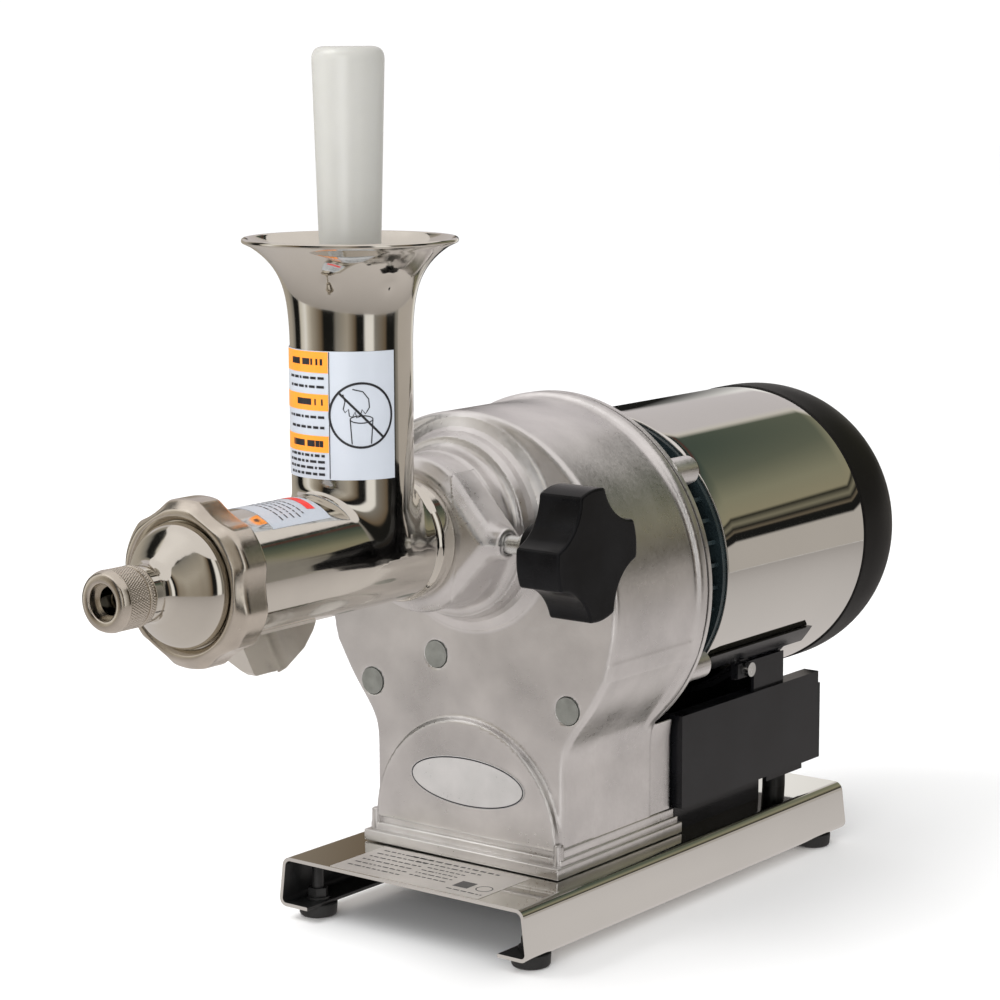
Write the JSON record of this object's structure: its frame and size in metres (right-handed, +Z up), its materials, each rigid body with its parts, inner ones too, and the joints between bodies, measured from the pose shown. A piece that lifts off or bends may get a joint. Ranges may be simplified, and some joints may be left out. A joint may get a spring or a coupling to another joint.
{
  "type": "electric meat grinder",
  "caption": "Single-auger electric grinding press: upright funnel, clamped press tube with screw nozzle, cast gear case, drum motor and folded steel tray.",
  "frame": {"origin": "on the table under the middle of the four feet", "axes": "+Z up, -Y towards the pulp outlet, +X towards the clamp knob"},
  "size_m": [0.1742, 0.4935, 0.3838],
  "materials": {
    "mirror_steel": "mirror-polished stainless sheet",
    "polished_steel": "polished stainless with faint weld and buffing marks",
    "cast_alu": "satin die-cast aluminium",
    "plug_alu": "dull grey plug",
    "nickel": "satin nickel plate",
    "zinc_steel": "zinc-plated steel",
    "black_steel": "blackened steel",
    "black_paint": "black powder coat, semi-gloss",
    "black_cast": "black painted casting",
    "matte_black": "fine-grained black plastic",
    "knob_black": "black phenolic, satin gloss",
    "rubber": "black rubber",
    "gasket": "dark gasket",
    "bearing_steel": "ground bearing steel",
    "gear_steel": "cut and oiled gear steel",
    "lamination": "stacked laminations",
    "copper": "varnished copper winding",
    "capacitor_alu": "drawn aluminium can",
    "fan_plastic": "dark moulded fan",
    "nylon_white": "white food-grade plastic",
    "pusher_plastic": "slightly translucent white plastic",
    "white_label": "satin vinyl sticker",
    "foil_label": "silver foil sticker",
    "badge_plate": "plain oval plate",
    "brass": "turned brass",
    "rocker_red": "red rocker"
  },
  "bodies": {
    "base": {"base_tray": "mirror_steel", "rubber_feet": "rubber", "foot_posts": "black_steel", "gear_case": "cast_alu", "case_bolts": "zinc_steel", "case_plugs": "plug_alu", "cover_gasket": "gasket", "gear_cover": "cast_alu", "cover_screws": "zinc_steel", "output_seal": "gasket", "output_bearings": "bearing_steel", "idler_bearings": "bearing_steel", "motor_bearings": "bearing_steel", "motor_bell": "black_cast", "stator_core": "lamination", "stator_windings": "copper", "motor_end_plate": "cast_alu", "motor_tie_bolts": "zinc_steel", "motor_wrap": "mirror_steel", "motor_end_cap": "matte_black", "motor_saddle": "black_paint", "box_screws": "zinc_steel", "control_box": "black_paint", "rear_panel": "black_paint", "box_spacers": "black_steel", "run_capacitor": "capacitor_alu", "terminal_block": "nylon_white", "switch_body": "matte_black", "cord_gland": "matte_black", "front_badge": "badge_plate", "data_label": "foil_label"},
    "rotor": {"rotor_shaft": "gear_steel", "rotor_core": "lamination", "cooling_fan": "fan_plastic"},
    "idler": {"idler_shaft": "gear_steel", "idler_gear": "gear_steel"},
    "output": {"output_shaft": "gear_steel", "output_gear": "gear_steel"},
    "press": {"press_body": "polished_steel", "strainer_screen": "polished_steel", "juice_spout": "polished_steel", "auger_bush": "nylon_white", "safety_label": "white_label", "tube_label": "white_label"},
    "auger": {"auger_core": "nylon_white", "auger_flight": "nylon_white"},
    "pusher": {"pusher": "pusher_plastic"},
    "outlet": {"pulp_cone": "polished_steel", "nozzle_lock_ring": "nickel"},
    "nut": {"ring_nut": "nickel"},
    "nozzle_seat": {"nozzle_o_ring": "rubber"},
    "nozzle": {"nozzle_cap": "nickel"},
    "clamp": {"clamp_pad": "brass"},
    "knob": {"clamp_stud": "zinc_steel", "clamp_knob": "knob_black"},
    "rocker": {"switch_rocker": "rocker_red"}
  },
  "joints": [
    {"name": "rotor_spin", "type": "hinge", "parent": "base", "child": "rotor", "pos_m": [0, 0, 0.1478], "axis": [0, 1, 0], "continuous": true},
    {"name": "idler_spin", "type": "hinge", "parent": "base", "child": "idler", "pos_m": [0.0349, 0, 0.1504], "axis": [0, 1, 0], "continuous": true},
    {"name": "output_spin", "type": "hinge", "parent": "base", "child": "output", "pos_m": [0, 0, 0.1788], "axis": [0, 1, 0], "continuous": true},
    {"name": "press_release", "type": "slide", "parent": "base", "child": "press", "axis": [0, -1, 0], "range_m": [0, 0.045]},
    {"name": "auger_spin", "type": "hinge", "parent": "press", "child": "auger", "pos_m": [0, 0, 0.1788], "axis": [0, 1, 0], "continuous": true},
    {"name": "pusher_lift", "type": "slide", "parent": "press", "child": "pusher", "axis": [0, 0, 1], "range_m": [0, 0.115]},
    {"name": "outlet_slide", "type": "slide", "parent": "press", "child": "outlet", "axis": [0, -1, 0], "range_m": [0, 0.012]},
    {"name": "nut_turn", "type": "hinge", "parent": "outlet", "child": "nut", "pos_m": [0, -0.252, 0.1788], "axis": [0, -1, 0], "range_deg": [0, 1440]},
    {"name": "nozzle_feed", "type": "slide", "parent": "outlet", "child": "nozzle_seat", "axis": [0, -1, 0], "range_m": [0, 0.0045]},
    {"name": "nozzle_turn", "type": "hinge", "parent": "nozzle_seat", "child": "nozzle", "pos_m": [0, -0.294, 0.1788], "axis": [0, -1, 0], "range_deg": [0, 1080]},
    {"name": "clamp_feed", "type": "slide", "parent": "base", "child": "clamp", "axis": [1, 0, 0], "range_m": [0, 0.005]},
    {"name": "knob_turn", "type": "hinge", "parent": "clamp", "child": "knob", "pos_m": [0.08, -0.111, 0.1788], "axis": [1, 0, 0], "range_deg": [0, 1440]},
    {"name": "rocker_tilt", "type": "hinge", "parent": "base", "child": "rocker", "pos_m": [-0.02, 0.1218, 0.058], "axis": [1, 0, 0], "range_deg": [-18, 0]}
  ],
  "couplings": [
    {"joint": "idler_spin", "follows": "rotor_spin", "ratio": -0.25},
    {"joint": "output_spin", "follows": "rotor_spin", "ratio": 0.0625},
    {"joint": "auger_spin", "follows": "rotor_spin", "ratio": 0.0625},
    {"joint": "outlet_slide", "follows": "nut_turn", "m_per_rad": 0.00047746},
    {"joint": "nozzle_feed", "follows": "nozzle_turn", "m_per_rad": 0.00023873},
    {"joint": "clamp_feed", "follows": "knob_turn", "m_per_rad": 0.00019894}
  ]
}
